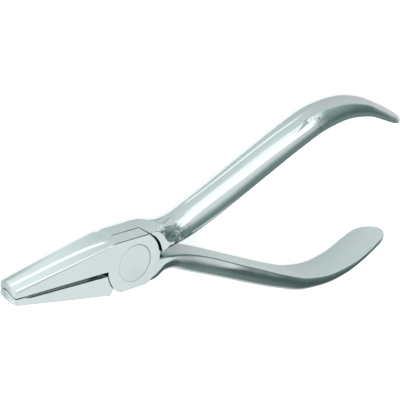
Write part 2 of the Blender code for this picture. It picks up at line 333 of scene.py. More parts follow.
@dataclass(frozen=True)
class OilAndShade:
    """Painted shade in the joint's gap, the rivet's groove and the mouth of the jaws, and a painted
    dark line along the joint's upper front edge, with the roughness of oil there.

    A span is where a soft border starts and where it is complete.
    """

    colour: Colour = (0.045, 0.062, 0.062)
    roughness: float = 0.3
    mouth_share: float = 0.22
    edge_share: float = 0.6
    gap_rim: Span = (8.02 * MM, 8.08 * MM)
    crotch_rim: Span = (9.98 * MM, 9.18 * MM)
    crotch_start: Span = (2.5 * MM, 4.5 * MM)
    shoulder_rim: Span = (8.48 * MM, 8.33 * MM)
    shoulder_start: Span = (-2.5 * MM, -4.5 * MM)
    shoulder_foot: Span = (1.2 * MM, 1.9 * MM)
    groove_start: Span = (4.87 * MM, 4.9 * MM)
    groove_end: Span = (5.2 * MM, 5.1 * MM)
    below_front: Span = (-0.08 * MM, -0.4 * MM)
    above_back: Span = (-8.62 * MM, -8.3 * MM)
    between_sides: Span = (5.9 * MM, 5.2 * MM)
    middle: float = -4.35 * MM
    tip: float = -33.8 * MM
    tip_half_width: float = 3.25 * MM
    taper: float = 0.043
    mouth_start: Span = (-33.8 * MM, -33.3 * MM)
    mouth_end: Span = (-7.0 * MM, -8.5 * MM)
    mouth_height: Span = (1.55 * MM, 1.4 * MM)
    mouth_depth: Span = (-0.9 * MM, -1.4 * MM)
    edge_height: float = 6.95 * MM
    edge_width: Span = (0.27 * MM, 0.12 * MM)
    edge_start: Span = (-10.5 * MM, -7.0 * MM)
    edge_end: Span = (6.0 * MM, 4.0 * MM)

    def share(self, spot: Spot) -> Socket:
        """Return how much painted shade, with the roughness of oil, there is at a place."""
        return (
            self.in_gap(spot) + self.mouth_share * self.in_mouth(spot)
            + self.edge_share * self.on_edge(spot)
        ).held()

    def in_gap(self, spot: Spot) -> Socket:
        """Return the painted shade around the plates and the rivet, behind the front face."""
        around = (spot.x * spot.x + spot.y * spot.y).power(0.5)
        height = spot.y.size()
        crotch = around.step(*self.crotch_rim) * spot.x.step(*self.crotch_start)
        shoulder = (
            around.step(*self.shoulder_rim) * spot.x.step(*self.shoulder_start)
            * height.step(*self.shoulder_foot)
        )
        groove = around.step(*self.groove_start) * around.step(*self.groove_end)
        inside = (
            spot.z.step(*self.below_front) * spot.z.step(*self.above_back)
            * height.step(*self.between_sides)
        )
        return inside * (around.step(*self.gap_rim) * (crotch + shoulder) + groove)

    def in_mouth(self, spot: Spot) -> Socket:
        """Return the painted shade between the jaws, away from their sides."""
        half_width = self.tip_half_width + (spot.x - self.tip) * self.taper
        past_side = (spot.z - self.middle).size() - half_width
        return (
            spot.x.step(*self.mouth_start) * spot.x.step(*self.mouth_end)
            * spot.y.size().step(*self.mouth_height) * past_side.step(*self.mouth_depth)
        )

    def on_edge(self, spot: Spot) -> Socket:
        """Return the painted dark line along the upper front edge of the joint."""
        return (
            (spot.y - self.edge_height).size().step(*self.edge_width)
            * spot.z.size().step(*self.edge_width)
            * spot.x.step(*self.edge_start) * spot.x.step(*self.edge_end)
        )


@dataclass(frozen=True)
class PaintedDarkReflections:
    """Painted dark reflections before the upper paddle: wedges, and fine dark streaks.

    A wedge has its centre along and across the pliers, its half length and its width.
    """

    wedges: tuple[tuple[float, ...], ...] = (
        (57.4 * MM, 24.4 * MM, 2.7 * MM, 0.42 * MM), (62.0 * MM, 25.5 * MM, 1.8 * MM, 0.20 * MM),
    )
    heading: tuple[float, float] = (0.88, 0.47)
    middle_width_share: float = 0.55
    growth_share: float = 0.45
    least_width: float = 0.01 * MM
    crispness: float = 3.0
    full_length_share: float = 0.8
    dark_streak_noise: Noise = Noise(1200.0, 2.0, (0.5, 0.5, 2.0), 0.6)
    dark_streak_span: Span = (0.54, 0.66)
    dark_streak_patch: Patch = Patch(
        ((*X, 56 * MM, 60 * MM), (*X, 70 * MM, 64 * MM), (*Y, 22 * MM, 24 * MM)),
        strength=0.45,
    )
    near_front: Patch = Patch(((*Z, -2.6 * MM, -1.8 * MM),), strength=0.8)

    def share(self, graph: Graph, spot: Spot) -> Socket:
        """Return the share of painted dark reflection at a place."""
        axes = spot.x, spot.y, spot.z
        cosine, sine = self.heading
        dark_streak_noise = graph.noise(spot.place, self.dark_streak_noise)
        share = self.dark_streak_patch.over(*axes) * dark_streak_noise.step(*self.dark_streak_span)
        for centre_x, centre_y, half_length, width in self.wedges:
            past_x, past_y = spot.x - centre_x, spot.y - centre_y
            along = past_x * cosine + past_y * sine
            across = past_y * cosine - past_x * sine
            wide = width * (self.middle_width_share + along * (self.growth_share / half_length))
            inside = 1.0 - across.size() / wide.larger(self.least_width)
            share = share + (inside * self.crispness).held() * along.size().step(
                half_length, self.full_length_share * half_length
            )
        return share.held() * self.near_front.over(*axes)


@dataclass(frozen=True)
class PolishedSteel:
    """Buffed tool steel: a near mirror with faint polishing lines and a soft cloud of haze.

    The lines run along the object, as the wheel was drawn along it. The root of the upper handle is
    ground by hand, so that its surface is wavy, with dark reflections painted over its waves. Dark
    reflections are also painted before the upper paddle, and shade is painted into the joint's
    gaps, the jaws' mouth and along the upper front edge, where oil makes the steel rougher.
    """

    name: str
    colour: Colour = (0.62, 0.71, 0.705)
    shade: Colour = (0.59, 0.685, 0.678)
    # The colour of the painted dark reflections.
    dark_reflection_colour: Colour = (0.18, 0.26, 0.26)
    roughness: float = 0.07
    haze: float = 0.05
    haze_span: Span = (0.45, 0.75)
    line_roughness: float = 0.02
    line_depth: float = 0.002 * MM
    line_strength: float = 0.35
    line_share: float = 0.8
    ripple_depth: float = 0.008 * MM
    wave_depth: float = 0.5 * MM
    # Share and noise span of the painted dark swirl reflections on the upper handle's root.
    root_reflection_share: float = 0.45
    root_reflection_span: Span = (0.44, 0.60)
    cloud: Noise = Noise(90.0, 3.0)
    lines: Noise = Noise(900.0, 3.0, (0.25, 6.0, 6.0))
    specks: Noise = Noise(2500.0)
    ripple: Noise = Noise(260.0, stretch=(0.2, 1.0, 1.0))
    wave: Noise = Noise(240.0, stretch=(0.75, 1.0, 1.4), twist=1.6)
    upper_root: Patch = Patch(
        ((*X, 9.2 * MM, 11.7 * MM), (*X, 19.0 * MM, 13.0 * MM), (*Y, 0.5 * MM, 2.0 * MM)),
    )
    lower_root_haze: Patch = Patch(
        ((*X, 13 * MM, 16 * MM), (*X, 34 * MM, 24 * MM), (*Y, -2 * MM, -4 * MM)),
        strength=0.10,
    )
    # Painted shade in the joint's gaps, the jaws' mouth and along the upper front edge, with oil's
    # roughness.
    oil_and_shade: OilAndShade = OilAndShade()
    # Painted dark reflections before the upper paddle.
    dark_reflections: PaintedDarkReflections = PaintedDarkReflections()

    def make(self) -> bpy.types.Material:
        """Return the material."""
        material = bpy.data.materials.new(self.name)
        graph = Graph(material)
        spot = graph.spot("Object")
        axes = spot.x, spot.y, spot.z
        cloud, lines, wave = (
            graph.noise(spot.place, noise) for noise in (self.cloud, self.lines, self.wave)
        )
        root = self.upper_root.over(*axes)
        oil_and_shade = self.oil_and_shade.share(spot)
        # Painted dark reflections: wedges and streaks before the upper paddle, and swirls on the
        # upper handle's root.
        painted_dark_reflections = self.dark_reflections.share(graph, spot) + self.root_reflection_share * root * wave.step(
            *self.root_reflection_span
        )
        colour = graph.mix_colours(cloud, (*self.colour, 1.0), (*self.shade, 1.0))
        # Mix in the painted dark reflections.
        colour = graph.mix_colours(painted_dark_reflections.held(), colour, (*self.dark_reflection_colour, 1.0))
        # Mix in the painted shade of the gaps, the mouth and the upper front edge.
        colour = graph.mix_colours(oil_and_shade, colour, (*self.oil_and_shade.colour, 1.0))
        rough = (
            self.roughness + self.haze * cloud.step(*self.haze_span) + self.line_roughness * lines
            + self.oil_and_shade.roughness * oil_and_shade + self.lower_root_haze.over(*axes)
        )
        specks = graph.noise(spot.place, self.specks)
        fine = graph.add(
            "ShaderNodeBump",
            inputs={
                "Strength": self.line_strength, "Distance": self.line_depth,
                "Height": lines * self.line_share + specks * (1.0 - self.line_share),
            },
        )
        ripple = graph.noise(spot.place, self.ripple)
        bump = graph.add(
            "ShaderNodeBump",
            inputs={
                "Distance": 1.0, "Normal": graph.out(fine),
                "Height": self.wave_depth * root * wave + self.ripple_depth * ripple,
            },
        )
        graph.finish(graph.add(
            "ShaderNodeBsdfPrincipled",
            inputs={
                "Base Color": colour, "Metallic": 1.0, "Roughness": rough,
                "Normal": graph.out(bump),
            },
        ))
        material.diffuse_color = (*self.colour, 1.0)
        return material


def blend(low: float, high: float, share: float) -> float:
    """Return the value at a share of the way from low to high."""
    return low + (high - low) * share


def ease(share: float) -> float:
    """Return a smooth step from 0 to 1, held outside that range."""
    held = min(max(share, 0.0), 1.0)
    return held * held * (3 - 2 * held)


@dataclass(frozen=True)
class Curve:
    """A smooth curve of several values along x, through chosen stations."""

    stations: tuple[tuple[float, ...], ...]
    softness: float = 1.2 * MM
    pitch: float = 0.2 * MM

    def table(self) -> tuple[np.ndarray, np.ndarray]:
        """Return places along x and the smoothed values there."""
        start, end = self.stations[0][0], self.stations[-1][0]
        places = np.arange(start, end + self.pitch, self.pitch)
        values = np.array([self._through(x) for x in places])
        reach = int(3 * self.softness / self.pitch)
        weights = np.exp(-((np.arange(-reach, reach + 1) * self.pitch / self.softness) ** 2) / 2)
        weights /= weights.sum()
        ends = np.concatenate([
            2 * values[0] - values[reach:0:-1], values, 2 * values[-1] - values[-2:-reach - 2:-1],
        ])
        smooth = np.stack([np.convolve(column, weights, "valid") for column in ends.T], axis=1)
        return places, smooth

    def _through(self, x: float) -> list[float]:
        """Return the values at x, with the harmonic mean of the slopes at each station."""
        stations = self.stations
        last = len(stations) - 1
        place = min(max(x, stations[0][0]), stations[last][0])
        index = 0
        while index < last - 1 and place > stations[index + 1][0]:
            index += 1
        run = stations[index + 1][0] - stations[index][0]
        t = (place - stations[index][0]) / run
        values = []
        for column in range(1, len(stations[0])):
            start, end = stations[index][column], stations[index + 1][column]
            pulls = [self._slope(k, column) * run for k in (index, index + 1)]
            values.append(
                (2 * t ** 3 - 3 * t ** 2 + 1) * start + (t ** 3 - 2 * t ** 2 + t) * pulls[0]
                + (3 * t ** 2 - 2 * t ** 3) * end + (t ** 3 - t ** 2) * pulls[1]
            )
        return values

    def _slope(self, k: int, column: int) -> float:
        """Return the slope of a column at a station."""
        last = len(self.stations) - 1

        def chord(index: int) -> float:
            """Return the slope between a station and the next."""
            first, second = self.stations[index], self.stations[index + 1]
            return (second[column] - first[column]) / (second[0] - first[0])

        if k in (0, last):
            return chord(min(k, last - 1))
        before, after = chord(k - 1), chord(k)
        return 2 * before * after / (before + after) if before * after > 0 else 0.0


class Solid:
    """A mesh that is made by bmesh operators, and then united with others or cut by them."""

    def __init__(self, name: str) -> None:
        """Start an empty solid.

        Args:
            name: The name of its object.
        """
        self.name = name
        self.bm = bmesh.new()

    def skin(self, rings: Sequence[Sequence[Point]]) -> "Solid":
        """Draw a grid over rings of equal counts of points, close it and cap its ends.

        Args:
            rings: The rings, from one end to the other.

        Returns:
            The solid itself.
        """
        count = len(rings[0])
        bmesh.ops.create_grid(
            self.bm, x_segments=len(rings) - 1, y_segments=count, size=1.0,
        )
        for vert in self.bm.verts:
            along = round((vert.co.x + 1) / 2 * (len(rings) - 1))
            turn = round((vert.co.y + 1) / 2 * count)
            vert.co = rings[along][turn % count]
        bmesh.ops.remove_doubles(self.bm, verts=self.bm.verts, dist=WELD_REACH)
        rim = [edge for edge in self.bm.edges if edge.is_boundary]
        bmesh.ops.holes_fill(self.bm, edges=rim, sides=count)
        caps = [face for face in self.bm.faces if len(face.verts) > 4]
        bmesh.ops.poke(self.bm, faces=caps)
        bmesh.ops.recalc_face_normals(self.bm, faces=self.bm.faces)
        return self

    def drum(
        self, radius: float, low: float, high: float, centre: tuple[float, float] = (0.0, 0.0),
        steps: int = 160,
    ) -> "Solid":
        """Add an upright cylinder between two heights."""
        place = Matrix.Translation((centre[0], centre[1], (low + high) / 2))
        bmesh.ops.create_cone(
            self.bm, cap_ends=True, segments=steps, radius1=radius, radius2=radius,
            depth=high - low, matrix=place,
        )
        return self

    def box(self, low: Point, high: Point) -> "Solid":
        """Add a box between its low and its high corner."""
        made = bmesh.ops.create_cube(self.bm, size=1.0)["verts"]
        size = Vector(high) - Vector(low)
        bmesh.ops.scale(self.bm, verts=made, vec=size)
        bmesh.ops.translate(self.bm, verts=made, vec=Vector(low) + size / 2)
        return self

    def prism(self, outline: Sequence[tuple[float, float]], low: float, high: float) -> "Solid":
        """Add a flat outline that is extruded from one height to another."""
        face = self.bm.faces.new([self.bm.verts.new((x, y, low)) for x, y in outline])
        raised = bmesh.ops.extrude_face_region(self.bm, geom=[face])["geom"]
        lifted = [item for item in raised if isinstance(item, bmesh.types.BMVert)]
        bmesh.ops.translate(self.bm, verts=lifted, vec=(0, 0, high - low))
        bmesh.ops.recalc_face_normals(self.bm, faces=self.bm.faces)
        return self

    def turned(self, profile: Sequence[tuple[float, float]], steps: int = 160) -> "Solid":
        """Add a solid that is spun about Z from a profile of (radius, height) points."""
        points = [self.bm.verts.new((radius, 0, height)) for radius, height in profile]
        edges = [self.bm.edges.new(pair) for pair in zip(points, points[1:])]
        bmesh.ops.spin(
            self.bm, geom=points + edges, axis=(0, 0, 1), cent=(0, 0, 0),
            angle=2 * math.pi, steps=steps, use_merge=True,
        )
        bmesh.ops.remove_doubles(self.bm, verts=self.bm.verts, dist=SPIN_WELD_REACH)
        bmesh.ops.recalc_face_normals(self.bm, faces=self.bm.faces)
        return self

    def object(self) -> bpy.types.Object:
        """Return the solid as an object in the scene, and let go of the bmesh."""
        mesh = bpy.data.meshes.new(self.name)
        self.bm.to_mesh(mesh)
        self.bm.free()
        obj = bpy.data.objects.new(self.name, mesh)
        bpy.context.scene.collection.objects.link(obj)
        return obj


def carve(obj: bpy.types.Object, steps: Iterable[tuple[str, "Solid"]]) -> None:
    """Unite a piece with solids or cut it by them, in order, and keep only the result.

    Args:
        obj: The piece.
        steps: Pairs of a Boolean operation and the solid that it takes.
    """
    tools = []
    for operation, solid in steps:
        tool = solid.object()
        step = obj.modifiers.new(tool.name, "BOOLEAN")
        step.operation = operation
        step.solver = "EXACT"
        step.object = tool
        tools.append(tool)
    shaped = obj.evaluated_get(bpy.context.evaluated_depsgraph_get())
    mesh = bpy.data.meshes.new_from_object(shaped)
    obj.modifiers.clear()
    old, obj.data = obj.data, mesh
    bpy.data.meshes.remove(old)
    for tool in tools:
        bpy.data.objects.remove(tool)


def clean(obj: bpy.types.Object) -> bmesh.types.BMesh:
    """Return a carved piece as a bmesh without slivers, and with its flat faces made whole."""
    bm = bmesh.new()
    bm.from_mesh(obj.data)
    bmesh.ops.dissolve_degenerate(bm, edges=bm.edges, dist=SLIVER)
    flat = [
        edge for edge in bm.edges
        if len(edge.link_faces) == 2
        and all(abs(face.normal.z) > FLAT for face in edge.link_faces)
    ]
    bmesh.ops.dissolve_limit(bm, angle_limit=FLAT_TURN, edges=flat, verts=[])
    bm.normal_update()
    return bm


def sharp_edges(
    bm: bmesh.types.BMesh, wanted: Callable[[Vector], bool]
) -> list[bmesh.types.BMEdge]:
    """Return the edges that turn sharply and lie where they are wanted."""
    return [
        edge for edge in bm.edges
        if len(edge.link_faces) == 2 and edge.calc_face_angle(0.0) > SHARP_TURN
        and all(wanted(vert.co) for vert in edge.verts)
    ]


def clear_edges(
    bm: bmesh.types.BMesh, sharp: Sequence[bmesh.types.BMEdge], room: float
) -> None:
    """Weld what crowds the sharp edges onto them, so that a rounding has room.

    Args:
        bm: The bmesh.
        sharp: Its sharp edges.
        room: The width on either side that has to be clear.
    """
    on_edge = {vert for edge in sharp for vert in edge.verts}
    targets = {}
    for edge in sharp:
        start, end = (vert.co for vert in edge.verts)
        run = end - start
        length = max(run.length_squared, LEAST_SQUARE)
        for vert in edge.verts:
            for link in vert.link_edges:
                other = link.other_vert(vert)
                if other in on_edge or other in targets:
                    continue
                share = min(max((other.co - start).dot(run) / length, 0.0), 1.0)
                if (other.co - start - run * share).length < room:
                    targets[other] = vert
    bmesh.ops.weld_verts(bm, targetmap=targets)
    near = {edge for vert in on_edge if vert.is_valid for edge in vert.link_edges}
    bmesh.ops.dissolve_degenerate(bm, edges=list(near), dist=CROWDED)
    bm.normal_update()


def close_slits(bm: bmesh.types.BMesh) -> None:
    """Fill the small slits that a rounding leaves open, and drop edges without a face."""
    slits = [edge for edge in bm.edges if edge.is_boundary]
    bmesh.ops.holes_fill(bm, edges=slits, sides=SLIT_SIDES)
    bare = [edge for edge in bm.edges if not edge.link_faces]
    bmesh.ops.delete(bm, geom=bare, context="EDGES")
    bmesh.ops.recalc_face_normals(bm, faces=bm.faces)


def round_edges(
    obj: bpy.types.Object, radius: float, wanted: Callable[[Vector], bool], segments: int = 2
) -> None:
    """Give the sharp edges of a piece a small polished radius.

    Args:
        obj: The piece.
        radius: The width of the rounding.
        wanted: Says of a place whether its edges are rounded.
        segments: The count of faces across the rounding.
    """
    bm = clean(obj)
    clear_edges(bm, sharp_edges(bm, wanted), ROUNDING_ROOM_SHARE * radius)
    bmesh.ops.bevel(
        bm, geom=sharp_edges(bm, wanted), offset=radius, offset_type="OFFSET",
        affect="EDGES", segments=segments, profile=ROUND_PROFILE, material=-1, clamp_overlap=False,
        miter_outer="ARC",
    )
    close_slits(bm)
    bm.to_mesh(obj.data)
    bm.free()


def part_flats(mesh: bpy.types.Mesh) -> None:
    """Mark the rims of the flat front and back faces as sharp, so that their shading is even."""
    bm = bmesh.new()
    bm.from_mesh(mesh)
    for edge in bm.edges:
        if len(edge.link_faces) == 2 and edge.calc_face_angle(0.0) > RIM_TURN:
            first, second = (abs(face.normal.z) > LEVEL for face in edge.link_faces)
            if first != second:
                edge.smooth = False
    bm.to_mesh(mesh)
    bm.free()


def settle(obj: bpy.types.Object, material: bpy.types.Material) -> None:
    """Shade a piece smooth, with its flat faces kept flat, and give it its material."""
    obj.data.materials.clear()
    obj.data.materials.append(material)
    obj.data.shade_smooth()
    obj.data.set_sharp_from_angle(angle=SHADED_TURN)
    part_flats(obj.data)
    weigh = obj.modifiers.new("flat_faces_stay_flat", "WEIGHTED_NORMAL")
    weigh.mode = "FACE_AREA_WITH_ANGLE"
    weigh.weight = FLAT_WEIGHT
    weigh.keep_sharp = True


@dataclass(frozen=True)
class JointSizes:
    """Sizes of the lap joint, which both halves and the rivet share."""

    thickness: float
    height: float = 13.9 * MM
    plate_overhang: float = 1.15 * MM
    plate_gap: float = 0.3 * MM
    shoulder_gap: float = 0.2 * MM
    crotch_gap: float = 0.3 * MM
    crotch_shift: tuple[float, float] = (0.60 * MM, 0.55 * MM)
    overrun: float = 2.0 * MM
    root_length: float = 8.9 * MM

    @property
    def half_thickness(self) -> float:
        """Half the joint's thickness."""
        return self.thickness / 2

    @property
    def half_height(self) -> float:
        """Half the joint's height."""
        return self.height / 2

    @property
    def plate_radius(self) -> float:
        """Radius of a plate about the rivet."""
        return self.half_height + self.plate_overhang

    @property
    def shoulder_radius(self) -> float:
        """Radius of the pocket that takes the other half's plate."""
        return self.plate_radius + self.shoulder_gap

    @property
    def crotch_radius(self) -> float:
        """Radius of the pocket's wider part, between plate and handle."""
        return self.plate_radius + self.crotch_gap


@dataclass(frozen=True)
class Jaw:
    """One jaw: half of the blunt nose, with a hollow or a round inner face."""

    joint: JointSizes
    length: float
    side: Side
    root_inset: float = 1.7 * MM
    tip_width: float = 6.5 * MM
    tip_edge_height: float = 1.75 * MM
    tip_edge_drop: float = 0.3 * MM
    tip_crown: float = 0.7 * MM
    tip_corner_radius: float = 0.3 * MM
    tip_roll: float = 0.5 * MM
    tip_rim: float = 0.08 * MM
    edge_radius: float = 0.6 * MM
    joint_edge_radius: float = 0.3 * MM
    inner_edge_radius: float = 0.08 * MM
    crisp_edge_radius: float = 0.1 * MM
    seam_gap: float = 0.24 * MM
    ridge_height: float = 0.8 * MM
    ridge_width: float = 7.0 * MM
    ridge_offset: float = 1.0 * MM
    lip_drop: float = 0.3 * MM
    tip_pad_length: float = 2.0 * MM
    relief_run: float = 2.0 * MM
    relief_depth: float = 0.5 * MM
    relief_at_joint: float = 0.95 * MM
    run_on_share: float = 0.40
    stations: int = 48
    face_steps: int = 28
    corner_steps: int = 8

    @property
    def taper_run(self) -> float:
        """Length over which the outer side falls to the tip."""
        return self.length - (self.joint.plate_radius - self.root_inset)

    def half_width(self, from_tip: float) -> float:
        """Return the half width at a distance from the tip."""
        tip = self.tip_width / 2
        run = self.length - self.joint.shoulder_radius
        straight = tip + (self.joint.half_thickness - tip) * from_tip / run
        if from_tip >= self.tip_corner_radius:
            return straight
        inset = self.tip_corner_radius - from_tip
        return straight - self.tip_corner_radius + math.sqrt(
            self.tip_corner_radius ** 2 - inset ** 2
        )

    def ridge(self, z: float) -> float:
        """Return the height of the seam between the jaws at a place across them."""
        share = abs(z + self.ridge_offset) / (self.ridge_width / 2)
        wave = (1 + math.cos(math.pi * share)) / 2 if share < 1 else 0.0
        return self.ridge_height * wave - self.lip_drop

    def inner(self, from_tip: float, z: float) -> float:
        """Return the height of the inner face."""
        if self.side is Side.HOLLOW:
            return self.seam_gap / 2 + self.ridge(z)
        behind = from_tip - self.tip_pad_length
        length = self.length - self.tip_pad_length - self.joint.plate_radius
        relief = self.relief_depth * ease(behind / self.relief_run)
        growth = (self.relief_at_joint - self.relief_depth) * max(behind, 0.0) / length
        return self.seam_gap / 2 - self.ridge(-z) + relief + growth

    def outer(self, from_tip: float, share: float) -> float:
        """Return the height of the outer side at a share of the half width."""
        run = from_tip / self.taper_run
        edge = blend(self.tip_edge_height, self.joint.half_height, run)
        fade = max(1 - max(run, 0.0) ** 3, 0.0)
        crown = self.tip_crown * fade * (1 - share * share)
        tilt = self.tip_edge_drop * fade * share / 2
        inset = max(self.tip_roll - from_tip, 0.0)
        roll = self.tip_roll - math.sqrt(self.tip_roll ** 2 - inset ** 2)
        return edge + crown - tilt - roll

    def ring(self, from_tip: float, inset: float = 0.0) -> list[Point]:
        """Return the section at a distance from the tip.

        Args:
            from_tip: The distance.
            inset: How far the section is drawn in all round.

        Returns:
            The points of the section.
        """
        half = self.half_width(from_tip) - inset
        run = min(from_tip / self.taper_run, 1.0)
        radius = blend(self.edge_radius, self.joint_edge_radius, run)
        if self.side is Side.ROUND:
            radius = self.crisp_edge_radius
        small = self.inner_edge_radius
        x = from_tip - self.length
        turns = [math.pi / 2 * k / self.corner_steps for k in range(self.corner_steps + 1)]

        def at(side: int, turn: float) -> Point:
            """Return a point of the small rounding between the inner face and a side."""
            height = self.inner(from_tip, side * half) + inset + small * (1 - math.cos(turn))
            return x, height, side * (half - small * (1 - math.sin(turn)))

        def over(side: int, turn: float) -> Point:
            """Return a point of the rounding between a side and the outer side."""
            height = self.outer(from_tip, side) - inset - radius * (1 - math.sin(turn))
            lift = self.outer(from_tip, side * (1 - radius / half)) - self.outer(from_tip, side)
            z = side * (half - radius * (1 - math.cos(turn)))
            return x, height + lift * turn / (math.pi / 2), z

        flat = [
            blend(small - half, half - small, k / self.face_steps)
            for k in range(1, self.face_steps)
        ]
        outer = [
            blend(half - radius, radius - half, k / self.face_steps)
            for k in range(1, self.face_steps)
        ]
        return [
            *(at(-1, turn) for turn in reversed(turns)),
            *((x, self.inner(from_tip, z) + inset, z) for z in flat),
            *(at(1, turn) for turn in turns),
            *(over(1, turn) for turn in turns),
            *((x, self.outer(from_tip, z / half) - inset, z) for z in outer),
            *(over(-1, turn) for turn in reversed(turns)),
        ]

    def solid(self, name: str) -> Solid:
        """Return the jaw in its full thickness, run on into the joint."""
        end = self.length - self.joint.plate_radius * self.run_on_share
        turns = [math.pi / 2 * k / self.corner_steps for k in range(self.corner_steps)]
        rims = [
            self.ring(self.tip_rim * (1 - math.cos(turn)), self.tip_rim * (1 - math.sin(turn)))
            for turn in turns[::2]
        ]
        places = [
            reach * (1 - math.cos(turn))
            for reach in (self.tip_corner_radius, self.tip_roll) for turn in turns
        ] + [
            blend(self.tip_roll, end, k / self.stations) for k in range(self.stations + 1)
        ]
        rings = [self.ring(place) for place in sorted(places) if place > self.tip_rim]
        return Solid(name).skin(rims + rings)


@dataclass(frozen=True)
class Handle:
    """One handle: a squared root at the joint, a D section that bows out, and a paddle."""

    joint: JointSizes
    length: float
    side: Side
    crotch_half_gap: float = 0.6 * MM
    bow: float = 23.5 * MM
    width: float = 11.0 * MM
    depth: float = 6.5 * MM
    edge_radius: float = 0.6 * MM
    root_edge_radius: float = 1.4 * MM
    root_edge_start: float = 11.0 * MM
    root_edge_end: float = 26.0 * MM
    paddle_cap: float = 6.4 * MM
    outer_power: float = 2.2
    inner_power: float = 6.0
    paddle_power: float = 2.3
    cap_turn: float = math.radians(89)
    stations: int = 150
    cap_stations: int = 18
    section_steps: int = 88
    station_power: float = 1.25
    root_shares: tuple = (
        (0.42, 1.00, 1.000, 3.64, 2.00),
        (0.53, 1.00, 1.000, 3.64, 1.63),
        (0.77, 1.00, 1.014, 3.18, 1.38),
        (0.99, 1.00, 1.029, 2.22, 1.09),
        (1.17, 1.08, 0.978, 1.18, 1.03),
        (1.36, 1.25, 0.947, 1.02, 0.985),
        (1.54, 1.60, 0.942, 1.00, 0.985),
        (1.79, 2.30, 0.957, 1.00, 0.98),
    )
    ground_shares: tuple = (1.03, 1.02, 1.012, 1.006, 1.006, 1.003, 1.0, 0.996)
    square_shares: tuple = (2.10, 1.90, 1.32, 1.31, 1.38, 1.36, 1.29, 1.20)
    free_shares: tuple = (
        (0.000, 0.060, 0.785, 0.900),
        (0.036, 0.102, 0.784, 0.970),
        (0.119, 0.222, 0.806, 1.000),
        (0.226, 0.400, 0.847, 0.970),
        (0.344, 0.593, 0.872, 0.955),
        (0.463, 0.786, 0.911, 0.890),
        (0.582, 0.945, 0.941, 0.825),
        (0.689, 1.000, 0.962, 0.728),
        (0.784, 0.962, 0.989, 0.684),
        (0.867, 0.857, 1.005, 0.655),
        (0.938, 0.764, 0.931, 0.558),
        (1.000, 0.738, 0.770, 0.180),
    )

    def curve(self) -> Curve:
        """Return the curve of inner side, outer side, the two half widths and the fullness."""
        plate_shares = self.ground_shares if self.side is Side.HOLLOW else self.square_shares
        rows = []
        for plate, (along, inner, outer, fullness, other) in zip(plate_shares, self.root_shares):
            rows.append((
                self.joint.plate_radius * along, self.crotch_half_gap * inner,
                self.joint.half_height * outer, self.joint.half_thickness * plate,
                self.joint.half_thickness * other, self.outer_power * fullness,
            ))
        root = self.joint.plate_radius + self.joint.root_length
        for along, bow, width, depth in self.free_shares:
            inner = self.crotch_half_gap + self.bow * bow
            half = self.width / 2 * width
            rows.append((
                root + (self.length - root) * along, inner, inner + self.depth * depth,
                half, half, self.outer_power,
            ))
        return Curve(tuple(rows))

    def ring(self, x: float, sizes: Sequence[float], closing: float) -> list[Point]:
        """Return the section at x: flat towards the other handle, full outside."""
        inner, outer, plate_side, other_side, fullness = sizes
        near_root = ease((self.root_edge_end - x) / (self.root_edge_end - self.root_edge_start))
        radius = blend(self.edge_radius, self.root_edge_radius, near_root)
        ring = []
        for k in range(self.section_steps):
            angle = 2 * math.pi * k / self.section_steps
            across, out = math.cos(angle), math.sin(angle)
            power = fullness if out >= 0 else self.inner_power
            half = (plate_side if across >= 0 else other_side) * closing
            z = half * math.copysign(abs(across) ** (2 / power), across)
            rise = abs(out) ** (2 / power)
            base = inner + radius
            y = base + (outer - base) * rise if out >= 0 else base - radius * rise
            ring.append((x, -y, z))
        return ring

    def solid(self, name: str) -> Solid:
        """Return the handle, from inside the joint to its rounded paddle."""
        places, values = self.curve().table()
        start, straight_end = places[0], self.length - self.paddle_cap
        rows = [
            (blend(start, straight_end, (k / self.stations) ** self.station_power), 1.0)
            for k in range(self.stations)
        ]
        for k in range(self.cap_stations):
            share = math.sin(self.cap_turn * k / (self.cap_stations - 1))
            closing = (1 - share ** self.paddle_power) ** (1 / self.paddle_power)
            rows.append((straight_end + self.paddle_cap * share, closing))
        rings = []
        for x, closing in rows:
            sizes = [np.interp(x, places, column) for column in values.T]
            rings.append(self.ring(x, sizes, closing))
        return Solid(name).skin(rings)


@dataclass(frozen=True)
class Notch:
    """The notch behind a jaw, in which the other half's plate turns, and how far it leans."""

    depth: float
    lean_share: float
    inset: float = 0.8 * MM


HOLLOW_NOTCH = Notch(depth=0.4 * MM, lean_share=3.0)
ROUND_NOTCH = Notch(depth=1.4 * MM, lean_share=0.55)


